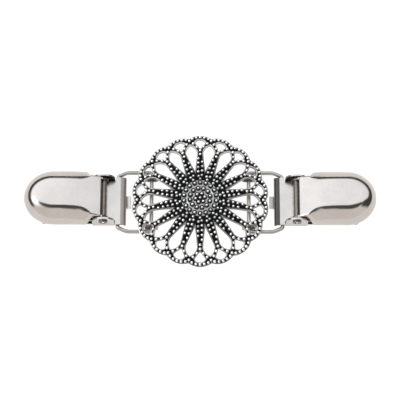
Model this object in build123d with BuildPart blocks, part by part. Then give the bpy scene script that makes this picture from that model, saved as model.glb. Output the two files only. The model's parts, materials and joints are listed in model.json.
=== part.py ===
from build123d import *
import math
import os

os.makedirs("parts", exist_ok=True)

# A shawl clip: a pierced, domed flower casting with a wire ring on each side,
# and on each ring a lever clip that bites the edge of a shawl or cardigan.
# Millimetres. The flower's centre is x = y = 0, z = 0 is the surface that it lies on,
# +X runs to the right clip and +Z is up. The left clip is the right one turned half round.

# Flower casting
petal_count = 18
flower_radius = 25.5
rim_scallop = 1.0
ground_thickness = 1.2
dome_rise = 2.6
bead_diameter = 1.35
bead_seat = 0.22
bead_pitch = 1.77
rim_bead_inset = 0.9

# Boss in the middle of the flower
boss_radius = 6.9
boss_step = 0.5
boss_line_width = 0.4
boss_bead_diameter = 1.35

# Wire ring between the flower and a clip
wire_diameter = 1.5
ring_to_rim = 0.3
ring_flare = 1.5
ring_corner_radius = 2.4
ring_bend_inside = 0.15
ring_slant_run = 3.2
bar_to_ear = 0.3

# Staples on the flower's back, round the rings' inner bars
staple_inset = 7.5
staple_to_bend = 0.15
staple_span = 5.0
staple_width = 2.0
staple_thickness = 0.8
staple_corner = 1.2

# Clip frame: one folded sheet
sheet = 0.8
pocket_clearance = 0.15
flower_to_fold = 1.8
fold_overhang = 0.5
lower_leg_inset = 0.5
lower_leg_reach = 26.0
jaw_chamfer = 3.5
jaw_overhang = 1.8
jaw_gap = 0.3
tooth_pitch = 2.0
tooth_depth = 1.0
tongue_overhang = 1.7
tongue_width = 4.6
tongue_rise = 1.2
tongue_corner = 0.9
tongue_notch_gap = 0.4

# Ears and pivot pin
fold_to_pivot = 8.3
ear_outer_face = 8.6
ear_thickness = 0.7
ear_to_leg = 0.25
ear_half_length = 4.1
ear_above_pin = 3.4
pin_diameter = 2.1
pin_head_diameter = 3.2
pin_head_thickness = 0.45
pin_dimple = 0.3
fixed_clearance = 0.04
running_clearance = 0.06
side_clearance = 0.2

# Lever cover: a hollow shell
lever_wall = 0.8
lever_half_width = 9.95
lever_height = 7.8
lever_front_rise = 3.2
lever_front_run = 0.7
lever_shoulder_gap = 0.4
lever_skirt_run = 1.9
lever_flare_run = 3.5
lever_side_run = 8.3
lever_nose = 10.9
flap_radius = 1.9
flap_gap = 0.3
ridge_radius = 0.8


def polar(radius, degrees):
    angle = math.radians(degrees)
    return (radius * math.cos(angle), radius * math.sin(angle))


# Places that the pieces share. The ring's bars lie in the clip's pocket, one sheet and a
# clearance above the table, and the flower's rim clears them.
wire_radius = wire_diameter / 2
pocket = wire_diameter + 2 * pocket_clearance
bar_z = sheet + pocket / 2
rim_underside = bar_z + wire_radius + ring_to_rim

fold_end = flower_radius + flower_to_fold
pivot_x = fold_end + fold_to_pivot
upper_leg_z = sheet + pocket
pivot_z = upper_leg_z + sheet + flap_gap + flap_radius
ear_inner_face = ear_outer_face - ear_thickness
fold_half_width = ear_outer_face + fold_overhang

# The flower's dome: two concentric spheres cut its ground to one thickness
sector = 360 / petal_count
notch_radius = flower_radius - rim_scallop
dome_radius = (flower_radius**2 + dome_rise**2) / (2 * dome_rise)
dome_centre_z = rim_underside + ground_thickness + dome_rise - dome_radius


def dome_top(radius):
    return dome_centre_z + math.sqrt(dome_radius**2 - radius**2)


# Opening between two spokes, pointed at both ends. Shares of the flower's radius.
teardrop_inner = 0.435 * flower_radius
teardrop_shoulder = (0.59 * flower_radius, 0.047 * flower_radius)
teardrop_widest = (0.722 * flower_radius, 0.080 * flower_radius)
teardrop_cheek = (0.80 * flower_radius, 0.056 * flower_radius)
teardrop_outer = 0.851 * flower_radius

with BuildSketch() as teardrop:
    with BuildLine():
        ThreePointArc((teardrop_inner, 0), teardrop_shoulder, teardrop_widest)
        ThreePointArc(teardrop_widest, teardrop_cheek, (teardrop_outer, 0))
        mirror(about=Plane.XZ)
    make_face()

# Rounded triangle between the two arms that a spoke ends in
triangle_apex = 0.780 * flower_radius
triangle_corner = (0.885 * flower_radius, 0.079 * flower_radius)
triangle_outer = 0.934 * flower_radius
triangle_corner_radius = 0.018 * flower_radius

with BuildSketch() as triangle:
    with BuildLine():
        Line((triangle_apex, 0), triangle_corner)
        ThreePointArc(
            triangle_corner,
            (triangle_outer, 0),
            (triangle_corner[0], -triangle_corner[1]),
        )
        Line((triangle_corner[0], -triangle_corner[1]), (triangle_apex, 0))
    make_face()
    fillet(triangle.vertices(), triangle_corner_radius)

with BuildSketch() as flower_plan:
    with BuildLine():
        for petal in range(petal_count):
            start = petal * sector
            ThreePointArc(
                polar(notch_radius, start),
                polar(flower_radius, start + sector / 2),
                polar(notch_radius, start + sector),
            )
    make_face()
    with PolarLocations(0, petal_count):
        add(teardrop.sketch, mode=Mode.SUBTRACT)
    with PolarLocations(0, petal_count, start_angle=sector / 2):
        add(triangle.sketch, mode=Mode.SUBTRACT)

# Beads of one spoke: (distance from the flower's centre, offset to the side)
bead_radius = bead_diameter / 2
row_offset = 0.029 * flower_radius
left_row_top = 0.616 * flower_radius
right_row_top = left_row_top - 0.8 * bead_pitch
row_bottom = boss_radius + bead_radius + boss_line_width
single_file = (0.686 * flower_radius, 0.747 * flower_radius)
arm_beads = (
    (0.808 * flower_radius, 0.047 * flower_radius),
    (0.860 * flower_radius, 0.102 * flower_radius),
)
node_bead_radius = 0.915 * flower_radius
rim_bead_angles = (-0.36 * sector, -0.18 * sector, 0, 0.18 * sector, 0.36 * sector)

spoke_beads = []
for row_top, side in ((left_row_top, 1), (right_row_top, -1)):
    row_count = int((row_top - row_bottom) / bead_pitch) + 1
    for step in range(row_count):
        spoke_beads.append((row_top - step * bead_pitch, side * row_offset))
for radius in single_file:
    spoke_beads.append((radius, 0))
for radius, offset in arm_beads:
    spoke_beads.append((radius, offset))
    spoke_beads.append((radius, -offset))

bead_places = []
for petal in range(petal_count):
    spoke_angle = (petal + 0.5) * sector
    for radius, offset in spoke_beads:
        turn = math.degrees(math.atan2(offset, radius))
        bead_places.append(polar(math.hypot(radius, offset), spoke_angle + turn))
    bead_places.append(polar(node_bead_radius, petal * sector))
    for angle in rim_bead_angles:
        dip = rim_scallop * (2 * angle / sector) ** 2
        bead_places.append(polar(flower_radius - rim_bead_inset - dip, spoke_angle + angle))
bead_centres = []
for x, y in bead_places:
    bead_centres.append((x, y, dome_top(math.hypot(x, y)) + bead_seat))

# The boss's beads stand in rings: (ring's radius, number of beads, first bead's angle)
boss_rings = (
    (0, 1, 0),
    (0.246 * boss_radius, 6, 10),
    (0.543 * boss_radius, 12, 11),
    (0.870 * boss_radius, petal_count, sector / 2),
)
boss_line_radii = (0.703 * boss_radius, boss_radius - boss_line_width / 2)
boss_centres = []
for ring_radius, bead_count, first_angle in boss_rings:
    for bead in range(bead_count):
        x, y = polar(ring_radius, first_angle + bead * 360 / bead_count)
        boss_centres.append((x, y, dome_top(ring_radius) + boss_step + bead_seat))

with BuildPart() as boss:
    with Locations((0, 0, rim_underside + ground_thickness)):
        Cylinder(boss_radius, 2 * dome_rise + boss_step, align=(Align.CENTER, Align.CENTER, Align.MIN))
    with Locations((0, 0, dome_centre_z)):
        Sphere(dome_radius + boss_step, mode=Mode.INTERSECT)
    for line_radius in boss_line_radii:
        with Locations((0, 0, dome_top(line_radius) + boss_step)):
            Torus(line_radius, boss_line_width / 2)
    with Locations(*boss_centres):
        Sphere(boss_bead_diameter / 2)

# A staple is a strap bent into a U, its ends cast into the strands above. It holds the
# straight part of a ring's inner bar, just short of the bend.
ring_bend_radius = wire_radius + ring_bend_inside
slant_end = fold_half_width + sheet
ring_half_height = slant_end + ring_flare
staple_x = flower_radius - staple_inset
staple_y = ring_half_height - ring_bend_radius - staple_to_bend - staple_width / 2
staple_top = dome_top(math.hypot(staple_x, staple_y)) - ground_thickness / 2

with BuildSketch(Plane.XZ) as staple_side:
    with Locations((staple_x, staple_top / 2)):
        Rectangle(staple_span, staple_top)
    fillet(staple_side.vertices().group_by(Axis.Z)[0], staple_corner)
    with Locations((staple_x, staple_top / 2 + staple_thickness)):
        Rectangle(staple_span - 2 * staple_thickness, staple_top, mode=Mode.SUBTRACT)

with BuildPart() as flower:
    add(flower_plan.sketch)
    extrude(amount=rim_underside + 2 * dome_rise + ground_thickness)
    with Locations((0, 0, dome_centre_z)):
        Sphere(dome_radius, mode=Mode.INTERSECT)
        Sphere(dome_radius - ground_thickness, mode=Mode.SUBTRACT)
    add(boss.part)
    with Locations(*bead_centres):
        Sphere(bead_radius)
    for row in (staple_y, -staple_y):
        with BuildSketch(Plane.XZ.offset(row)):
            add(staple_side.sketch)
            add(mirror(staple_side.sketch, about=Plane.YZ))
        extrude(amount=staple_width / 2, both=True)

# Wire ring: a closed loop whose corners slant in to the clip's width
ear_start = pivot_x - ear_half_length
ear_stop = pivot_x + ear_half_length
ring_outer_bar = ear_start - bar_to_ear - wire_radius
ring_slant_start = ring_outer_bar - ring_slant_run

with BuildPart() as wire_ring:
    with BuildLine(Plane.XY.offset(bar_z)) as ring_line:
        FilletPolyline(
            (staple_x, -ring_half_height),
            (staple_x, ring_half_height),
            (ring_slant_start, ring_half_height),
            (ring_outer_bar, slant_end),
            (ring_outer_bar, -slant_end),
            (ring_slant_start, -ring_half_height),
            radius=[
                ring_bend_radius,
                ring_bend_radius,
                ring_corner_radius,
                ring_bend_radius,
                ring_bend_radius,
                ring_corner_radius,
            ],
            close=True,
        )
    with BuildSketch(Plane(origin=ring_line.wire() @ 0, z_dir=ring_line.wire() % 0)):
        Circle(wire_radius)
    sweep()


# Clip frame: one sheet folded round the ring's outer bar. The lower leg carries the ears
# and runs on as a small tongue under the fold; both legs end in jaws.
fold_outer_radius = pocket / 2 + sheet
fold_centre_x = fold_end + fold_outer_radius
upper_leg_half_width = ear_inner_face - ear_to_leg
lower_leg_half_width = ear_outer_face - lower_leg_inset
lower_leg_end = pivot_x + lower_leg_reach
lower_leg_corner = lower_leg_end - jaw_chamfer
upper_leg_end = lower_leg_end - jaw_overhang
ear_top = pivot_z + ear_above_pin
ear_shoulder_z = ear_top - ear_half_length
tooth_count = 2 * int((upper_leg_half_width - tooth_pitch) / tooth_pitch) + 1
tooth_slope = math.degrees(math.atan2(tooth_depth, tooth_pitch / 2))
tongue_start = fold_end + 2 * sheet + pocket_clearance
tongue_run = tongue_start - fold_end + tongue_overhang
tongue_length = math.hypot(tongue_rise, tongue_run)
tongue_notch_width = tongue_width + 2 * side_clearance
tongue_notch_top = tongue_rise + tongue_notch_gap

with BuildSketch(Plane.XZ) as ear_side:
    with BuildLine():
        Line((ear_start, 0), (ear_start, ear_shoulder_z))
        ThreePointArc(
            (ear_start, ear_shoulder_z),
            (pivot_x, ear_top),
            (ear_stop, ear_shoulder_z),
        )
        Line((ear_stop, ear_shoulder_z), (ear_stop, 0))
        Line((ear_stop, 0), (ear_start, 0))
    make_face()
    with Locations((pivot_x, pivot_z)):
        Circle(pin_diameter / 2 + fixed_clearance, mode=Mode.SUBTRACT)

with BuildPart() as clip_frame:
    with BuildSketch(Plane.XZ):
        with Locations((fold_centre_x, bar_z)):
            Circle(fold_outer_radius)
            Circle(pocket / 2, mode=Mode.SUBTRACT)
        with Locations((fold_centre_x, bar_z)):
            Rectangle(
                fold_outer_radius,
                2 * fold_outer_radius,
                align=(Align.MIN, Align.CENTER),
                mode=Mode.SUBTRACT,
            )
    extrude(amount=fold_half_width, both=True)
    # The strip narrows to the lower leg halfway down the fold
    with BuildSketch(Plane.XY):
        with Locations((fold_centre_x, 0)):
            Rectangle(2 * fold_outer_radius, 2 * fold_half_width)
            Rectangle(2 * fold_outer_radius, 2 * lower_leg_half_width, mode=Mode.SUBTRACT)
    extrude(amount=bar_z, mode=Mode.SUBTRACT)
    with BuildSketch(Plane.XY.offset(upper_leg_z)):
        with Locations((fold_centre_x, 0)):
            Rectangle(
                ear_start - side_clearance - fold_centre_x,
                2 * fold_half_width,
                align=(Align.MIN, Align.CENTER),
            )
            Rectangle(
                upper_leg_end - fold_centre_x,
                2 * upper_leg_half_width,
                align=(Align.MIN, Align.CENTER),
            )
    extrude(amount=sheet)
    with BuildSketch(Plane.XY):
        with Locations((fold_centre_x, 0)):
            Rectangle(
                lower_leg_corner - fold_centre_x,
                2 * lower_leg_half_width,
                align=(Align.MIN, Align.CENTER),
            )
        with Locations((pivot_x, 0)):
            Rectangle(2 * ear_half_length, 2 * ear_outer_face)
        with BuildLine():
            Polyline(
                (lower_leg_corner, lower_leg_half_width),
                (lower_leg_end, lower_leg_half_width - jaw_chamfer),
                (lower_leg_end, jaw_chamfer - lower_leg_half_width),
                (lower_leg_corner, -lower_leg_half_width),
                close=True,
            )
        make_face()
    extrude(amount=sheet)
    for ear_plane in (Plane.XZ.offset(ear_inner_face), Plane.XZ.offset(-ear_outer_face)):
        with BuildSketch(ear_plane):
            add(ear_side.sketch)
        extrude(amount=ear_thickness)
    # Teeth: the upper leg turns down at its end in a comb
    with BuildSketch(Plane.YZ.offset(upper_leg_end - sheet)):
        with Locations((0, upper_leg_z)):
            Rectangle(
                (tooth_count + 1) * tooth_pitch,
                pocket - jaw_gap - tooth_depth,
                align=(Align.CENTER, Align.MAX),
            )
        with Locations((0, sheet + jaw_gap + tooth_depth)):
            with GridLocations(tooth_pitch, 1, tooth_count, 1):
                Triangle(
                    a=tooth_pitch,
                    B=tooth_slope,
                    C=tooth_slope,
                    align=(Align.CENTER, Align.MIN),
                    rotation=180,
                )
    extrude(amount=sheet)
    # The tongue rises through a notch in the lower half of the fold
    with BuildSketch(Plane.XY):
        with Locations((fold_centre_x, 0)):
            Rectangle(2 * fold_outer_radius, tongue_notch_width)
    extrude(amount=tongue_notch_top, mode=Mode.SUBTRACT)
    with BuildSketch(Plane.XY):
        with Locations((tongue_start - sheet, 0)):
            Rectangle(
                2 * fold_outer_radius,
                tongue_notch_width,
                align=(Align.MIN, Align.CENTER),
            )
    extrude(amount=sheet)
    tongue_plane = Plane(
        origin=(tongue_start, 0, 0),
        x_dir=(-tongue_run, 0, tongue_rise),
        z_dir=(tongue_rise, 0, tongue_run),
    )
    with BuildSketch(tongue_plane) as tongue:
        Rectangle(tongue_length, tongue_width, align=(Align.MIN, Align.CENTER))
        fillet(tongue.vertices().group_by(Axis.X)[0], tongue_corner)
    extrude(amount=sheet)

# Pivot pin: a rivet with a dimpled head outside each ear
head_start = ear_outer_face + fixed_clearance
head_end = head_start + pin_head_thickness

with BuildPart() as pivot_pin:
    with BuildSketch(Plane.XZ):
        with Locations((pivot_x, pivot_z)):
            Circle(pin_diameter / 2)
    extrude(amount=head_start, both=True)
    for head_plane in (Plane.XZ.offset(head_start), Plane.XZ.offset(-head_end)):
        with BuildSketch(head_plane):
            with Locations((pivot_x, pivot_z)):
                Circle(pin_head_diameter / 2)
        extrude(amount=pin_head_thickness)
    for side in (1, -1):
        with Locations((pivot_x, side * head_end, pivot_z)):
            Torus(
                pin_head_diameter / 4,
                pin_dimple / 2,
                rotation=(90, 0, 0),
                mode=Mode.SUBTRACT,
            )


# Lever cover: its rim is level with the pin. Outlines at three heights are lofted into its
# flanks and nose: (height above the rim, half width, nose) as shares of the cover's height,
# the rim's half width and the nose's length. The crown in side view cuts the loft.
lever_rim_z = pivot_z
lever_crown_z = lever_rim_z + lever_height
lever_front_z = pivot_z + lever_front_rise
lever_pinch = ear_inner_face - side_clearance
lever_front = pivot_x + lever_front_run
lever_shoulder = ear_stop + lever_shoulder_gap
lever_skirt_start = lever_shoulder + lever_skirt_run
lever_full_width_x = lever_skirt_start + lever_flare_run
lever_nose_start = lever_full_width_x + lever_side_run
lever_tip = lever_nose_start + lever_nose
crown_level = 1.03
cover_levels = (
    (0.00, 1.00, 1.000),
    (0.51, 0.93, 0.968),
    (crown_level, 0.60, 0.800),
)

# The crown's side view: (place, share of the rise from the cover's front to its crown)
crown_rise = lever_crown_z - lever_front_z
crown_profile = (
    (lever_front - 2 * lever_wall, 0.00),
    (lever_shoulder - lever_wall, 0.16),
    (lever_skirt_start, 0.60),
    (lever_full_width_x, 0.93),
    ((lever_full_width_x + lever_nose_start) / 2 + lever_wall, 1.00),
    (lever_tip + lever_wall, 0.94),
)


def cover_outline(half_width, tip, pinch):
    with BuildSketch() as outline:
        with BuildLine():
            Line((lever_front - lever_wall, 0), (lever_front - lever_wall, pinch))
            Line((lever_front - lever_wall, pinch), (lever_shoulder, pinch))
            Spline(
                (lever_shoulder, pinch),
                (lever_full_width_x, half_width),
                tangents=((1, 0), (1, 0)),
            )
            Line((lever_full_width_x, half_width), (lever_nose_start, half_width))
            EllipticalCenterArc(
                (lever_nose_start, 0),
                tip - lever_nose_start,
                half_width,
                start_angle=0,
                arc_size=90,
            )
            mirror(about=Plane.XZ)
        make_face()
    return outline.sketch


def crown_side(drop):
    points = [(x, lever_front_z + share * crown_rise - drop) for x, share in crown_profile]
    with BuildSketch(Plane.XZ) as side:
        with BuildLine():
            Spline(*points)
            Polyline(points[-1], (points[-1][0], 0), (points[0][0], 0), points[0])
        make_face()
    return side.sketch


with BuildPart() as cover_hollow:
    for height, width, nose in cover_levels:
        skirt_drop = lever_wall if height == 0 else 0
        with BuildSketch(Plane.XY.offset(lever_rim_z + height * lever_height - skirt_drop)):
            add(
                cover_outline(
                    width * lever_half_width - lever_wall,
                    lever_nose_start + nose * lever_nose - lever_wall,
                    lever_pinch - lever_wall,
                )
            )
    loft()
    with BuildSketch(Plane.XZ):
        add(crown_side(lever_wall))
    extrude(amount=lever_half_width, both=True, mode=Mode.INTERSECT)

# The cover's flaps reach down inside the ears and turn on the pin
with BuildSketch(Plane.XZ) as flap_side:
    with Locations((pivot_x, pivot_z)):
        Circle(flap_radius)
    with Locations((lever_front, lever_front_z - lever_wall)):
        Rectangle(
            lever_shoulder - lever_front,
            lever_wall,
            align=(Align.MIN, Align.CENTER),
        )
    make_hull()

with BuildPart() as lever_cover:
    for height, width, nose in cover_levels:
        with BuildSketch(Plane.XY.offset(lever_rim_z + height * lever_height)):
            add(
                cover_outline(
                    width * lever_half_width,
                    lever_nose_start + nose * lever_nose,
                    lever_pinch,
                )
            )
    loft()
    with BuildSketch(Plane.XZ):
        add(crown_side(0))
    extrude(amount=lever_half_width, both=True, mode=Mode.INTERSECT)
    crown_face = lever_cover.faces().filter_by(GeomType.PLANE, reverse=True).sort_by(Axis.Z)[-1]
    ridge = crown_face.edges().filter_by_position(
        Axis.X, lever_skirt_start, lever_tip, (False, False)
    )
    fillet(ridge, ridge_radius)
    add(cover_hollow.part, mode=Mode.SUBTRACT)
    # The skirt ends in a slant behind the ear; ahead of it only the crown runs on
    with BuildSketch(Plane.XZ):
        with BuildLine():
            Polyline(
                (lever_front - 2 * lever_wall, lever_rim_z - lever_wall),
                (lever_skirt_start, lever_rim_z - lever_wall),
                (lever_skirt_start, lever_rim_z),
                (lever_shoulder, lever_front_z - lever_wall),
                (lever_front, lever_front_z - lever_wall),
                (lever_front, lever_crown_z),
                (lever_front - 2 * lever_wall, lever_crown_z),
                close=True,
            )
        make_face()
    extrude(amount=lever_half_width + lever_wall, both=True, mode=Mode.SUBTRACT)
    for flap_plane in (Plane.XZ.offset(lever_pinch - lever_wall), Plane.XZ.offset(-lever_pinch)):
        with BuildSketch(flap_plane):
            add(flap_side.sketch)
        extrude(amount=lever_wall)
    with BuildSketch(Plane.XZ):
        with Locations((pivot_x, pivot_z)):
            Circle(pin_diameter / 2 + running_clearance)
    extrude(amount=lever_pinch, both=True, mode=Mode.SUBTRACT)

flower.part.label = "flower"
export_step(flower.part, "parts/flower.step")

# Both clips are the same: the left one is the right one turned half round
clip_pieces = {
    "wire_ring": wire_ring.part,
    "clip_frame": clip_frame.part,
    "pivot_pin": pivot_pin.part,
    "lever_cover": lever_cover.part,
}
for name, piece in clip_pieces.items():
    for side, placed in (("right", piece), ("left", Rot(0, 0, 180) * piece)):
        placed.label = f"{side}_{name}"
        export_step(placed, f"parts/{side}_{name}.step")
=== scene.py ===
# %% [markdown]
# # A shawl clip in metal
# Two polished lever clips hang on wire rings from a pierced, domed flower. A real one is
# cast, pressed, bent and plated. Here the construction comes ready made from the frame:
# the main places below are read from it, and this lesson adds shape detail and finish.

# %% Load the frame
import json
import math
from contextlib import contextmanager

import bmesh
import bpy
from mathutils import Matrix, Quaternion, Vector


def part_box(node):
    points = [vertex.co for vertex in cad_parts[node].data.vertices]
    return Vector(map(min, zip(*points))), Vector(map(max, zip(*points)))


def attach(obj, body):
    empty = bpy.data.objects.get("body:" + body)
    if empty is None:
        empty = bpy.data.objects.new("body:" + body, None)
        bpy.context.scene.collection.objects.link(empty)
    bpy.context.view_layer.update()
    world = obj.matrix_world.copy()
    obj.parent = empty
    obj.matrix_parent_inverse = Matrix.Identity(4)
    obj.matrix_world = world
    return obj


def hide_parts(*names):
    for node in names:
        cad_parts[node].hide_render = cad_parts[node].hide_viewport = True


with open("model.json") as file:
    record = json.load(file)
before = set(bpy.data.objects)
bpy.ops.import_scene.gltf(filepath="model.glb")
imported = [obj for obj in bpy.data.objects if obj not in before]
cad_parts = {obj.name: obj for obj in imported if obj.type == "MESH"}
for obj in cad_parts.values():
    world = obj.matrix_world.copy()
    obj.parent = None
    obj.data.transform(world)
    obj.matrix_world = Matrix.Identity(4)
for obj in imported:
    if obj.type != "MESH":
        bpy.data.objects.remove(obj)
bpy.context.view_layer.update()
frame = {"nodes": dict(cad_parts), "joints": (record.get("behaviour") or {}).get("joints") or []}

mm = 0.001
joint_place = {joint["name"]: Vector(joint["pos_m"]) for joint in frame["joints"]}

# %% [markdown]
# ## The camera
# The photograph looks down on the clip from the front, about 72 degrees above the table,
# through a long lens. A long lens far away keeps both clips the same size, so the camera
# stands 0.6 m off and its focal length is worked out from the wanted scale. It is held a
# hair askew, which lifts the left clip by half a pixel.

# %% Place the camera
def add_object(name, data):
    made = bpy.data.objects.new(name, data)
    bpy.context.scene.collection.objects.link(made)
    return made


image_pixels = 400
pixels_per_mm = 2.710
camera_distance = 0.6
camera_elevation = math.radians(72.3)
camera_roll = math.radians(0.13)
camera_target = Vector((-0.05 * mm, 0, 4.5 * mm))
sensor_width = 36.0

camera_data = bpy.data.cameras.new("camera")
camera_data.sensor_width = sensor_width
camera_data.lens = pixels_per_mm / mm * camera_distance * sensor_width / image_pixels
camera_data.clip_start = 0.05
camera_data.clip_end = 20
camera = add_object("camera", camera_data)
towards_camera = Vector((0, -math.cos(camera_elevation), math.sin(camera_elevation)))
camera.location = camera_target + towards_camera * camera_distance
aim = (-towards_camera).to_track_quat("-Z", "Y")
camera.rotation_euler = (aim @ Quaternion((0, 0, 1), camera_roll)).to_euler()
bpy.context.scene.camera = camera
print("lens:", round(camera_data.lens, 1), "mm")

# %% [markdown]
# ## A node tree written as sums
# Shader and geometry trees both do arithmetic. Wiring Math nodes by hand hides the formula,
# so one small class wraps a socket and lets Python's own operators add the nodes.

# %% A socket that can be used in a sum
class Value:
    def __init__(self, graph, socket):
        self.graph = graph
        self.socket = socket

    def __add__(self, other):
        return self.graph.maths("ADD", self, other)

    def __radd__(self, other):
        return self.graph.maths("ADD", other, self)

    def __sub__(self, other):
        return self.graph.maths("SUBTRACT", self, other)

    def __rsub__(self, other):
        return self.graph.maths("SUBTRACT", other, self)

    def __mul__(self, other):
        return self.graph.maths("MULTIPLY", self, other)

    def __rmul__(self, other):
        return self.graph.maths("MULTIPLY", other, self)

    def __truediv__(self, other):
        return self.graph.maths("DIVIDE", self, other)

    def __pow__(self, other):
        return self.graph.maths("POWER", self, other)

    def __abs__(self):
        return self.graph.maths("ABSOLUTE", self)


# %% [markdown]
# Every node comes from one method: its type, its settings, then what its sockets get.
# Sockets are found by number, by identifier or by name. The nodes that are needed most
# have short methods of their own, which call it.

# %% A tree whose nodes come from one method
class Graph:
    def __init__(self, tree):
        self.tree = tree

    def node(self, kind, settings=None, inputs=None, output=0):
        made = self.tree.nodes.new(kind)
        for name, value in (settings or {}).items():
            setattr(made, name, value)
        for key, value in (inputs or {}).items():
            socket = self.find(made.inputs, key)
            if isinstance(value, Value):
                self.tree.links.new(value.socket, socket)
            else:
                socket.default_value = value
        return Value(self, self.find(made.outputs, output))

    def find(self, sockets, key):
        if isinstance(key, int):
            return sockets[key]
        for socket in sockets:
            if socket.identifier == key:
                return socket
        return sockets[key]

    def output(self, made, key):
        return Value(self, self.find(made.socket.node.outputs, key))

    def maths(self, operation, first, second=0.0):
        return self.node("ShaderNodeMath", {"operation": operation}, {0: first, 1: second})

    def coordinates(self, vector):
        parts = self.node("ShaderNodeSeparateXYZ", {}, {"Vector": vector})
        return [self.output(parts, axis) for axis in "XYZ"]

    def attribute(self, name):
        return self.node("ShaderNodeAttribute", {"attribute_name": name}, {}, "Fac")

    def noise(self, place, scale, detail):
        inputs = {"Vector": place, "Scale": scale, "Detail": detail}
        return self.node("ShaderNodeTexNoise", {}, inputs)

    def bump(self, height, depth, strength):
        inputs = {"Height": height, "Distance": depth, "Strength": strength}
        return self.node("ShaderNodeBump", {}, inputs)

    def smooth_step(self, value, low, high):
        return self.node(
            "ShaderNodeMapRange",
            {"interpolation_type": "SMOOTHSTEP"},
            {"Value": value, "From Min": low, "From Max": high},
        )

    def mix(self, factor, first, second):
        return self.node(
            "ShaderNodeMix",
            {"data_type": "RGBA"},
            {"Factor_Float": factor, "A_Color": first, "B_Color": second},
            "Result_Color",
        )


def grey(level):
    return (level, level, level, 1)


# %% [markdown]
# ## Plated steel
# The rings, frames, rivets and covers are nickel plated. Nickel is a warm grey metal. What
# tells the pieces apart is how finely they are finished, so one function makes them all:
# a soft cloudiness in the plating, a little uneven roughness, and the shallow waves that
# pressing leaves in sheet.

# %% Open a metal and feed its shader
def new_metal(name):
    material = bpy.data.materials.new(name)
    material.use_nodes = True
    material.node_tree.nodes["Principled BSDF"].inputs["Metallic"].default_value = 1.0
    graph = Graph(material.node_tree)
    return material, graph, graph.node("ShaderNodeTexCoord", output="Object")


def feed(material, values):
    shader = material.node_tree.nodes["Principled BSDF"]
    for name, value in values.items():
        material.node_tree.links.new(value.socket, shader.inputs[name])


# %% Nickel finishes
def nickel(name, colour, roughness, cloud_size, wave_depth, wave_size):
    material, graph, place = new_metal(name)
    clouds = graph.noise(place, 1 / cloud_size, 4.0)
    specks = graph.noise(place, 9 / cloud_size, 2.0)
    waves = graph.noise(place, 1 / wave_size, 1.0)
    worn = graph.smooth_step(clouds * 0.7 + specks * 0.3, 0.35, 0.68)
    darker = [0.92 * channel for channel in colour]
    base = graph.mix(worn, (*darker, 1), (*colour, 1))
    uneven = (1 - worn) * (0.35 * roughness) + roughness
    feed(material, {"Base Color": base, "Roughness": uneven})
    feed(material, {"Normal": graph.bump(waves, wave_depth, 1.0)})
    return material


sheet_colour = (0.50, 0.468, 0.436)
cover_finish = nickel("polished_nickel", (0.515, 0.472, 0.436), 0.13, 7 * mm, 0.012 * mm, 6 * mm)
sheet_finish = nickel("satin_nickel", sheet_colour, 0.22, 5 * mm, 0.006 * mm, 4 * mm)
staple_finish = nickel("plain_nickel", (0.30, 0.27, 0.245), 0.34, 3 * mm, 0.01 * mm, 2 * mm)
wire_finish = nickel("drawn_nickel", (0.42, 0.39, 0.36), 0.27, 3 * mm, 0.004 * mm, 2 * mm)
pin_finish = nickel("rivet_steel", (0.24, 0.205, 0.185), 0.36, 2 * mm, 0.006 * mm, 1 * mm)
print("nickel finishes:", 5)

# %% [markdown]
# Two of these metals are changed in places. The frames' folds and tongues, nearest the
# middle, are rougher than the rest of the sheet, and the folds carry painted shade, much
# darker on the right clip than on the left. The insides of the ears carry a near-black
# painted shade. Each change goes over the plain finish: what feeds the shader is read back
# and mixed with a new colour where a mask, made of the point's place, says so.

# %% Rough folds, and painted shade on the folds and ears
ear_inside = 7.9 * mm
fold_start = joint_place["right_clip_swing"].x - 0.95 * mm
tongue_end = fold_start - 2.0 * mm
# Painted shade on the folds, much darker on the right clip than on the left
fold_shade_left, fold_shade_right = (0.277, 0.247, 0.221, 1), (0.075, 0.066, 0.060, 1)
# Painted shade on the insides of the ears, near black
ear_shade_colour = (0.045, 0.040, 0.037, 1)


def reopen(material):
    """The material's graph and the coordinates of a point's place."""
    graph = Graph(material.node_tree)
    return graph, graph.coordinates(graph.node("ShaderNodeTexCoord", output="Object"))


def fed(material, name):
    """What already feeds one socket of the shader."""
    socket = material.node_tree.nodes["Principled BSDF"].inputs[name]
    return Value(Graph(material.node_tree), socket.links[0].from_socket)


graph, (x, y, z) = reopen(sheet_finish)
sideways = abs(x)
# Folds and tongues are rougher; the folds' colour is painted shade
dull_and_shaded = 1 - graph.smooth_step(sideways, fold_start - 0.2 * mm, fold_start + 0.1 * mm)
tongue = 1 - graph.smooth_step(sideways, tongue_end - 0.1 * mm, tongue_end + 0.1 * mm)
fold = graph.mix(graph.smooth_step(x, -1 * mm, 1 * mm), fold_shade_left, fold_shade_right)
shaded_fold_colour = graph.mix(tongue, fold, (*sheet_colour, 1))
base = graph.mix(dull_and_shaded, fed(sheet_finish, "Base Color"), shaded_fold_colour)
on_face = 1 - graph.smooth_step(abs(abs(y) - ear_inside), 0.06 * mm, 0.14 * mm)
past_fold = graph.smooth_step(sideways, fold_start + 1.6 * mm, fold_start + 1.9 * mm)
# Painted shade on the insides of the ears, from 1.5 mm up
ear_shade = on_face * past_fold * graph.smooth_step(z, 1.5 * mm, 1.8 * mm)
rougher = fed(sheet_finish, "Roughness") + dull_and_shaded * 0.15
feed(sheet_finish, {"Base Color": graph.mix(ear_shade, base, ear_shade_colour), "Roughness": rougher})
print("folds begin", round(fold_start / mm, 2), "mm from the middle")
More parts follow.
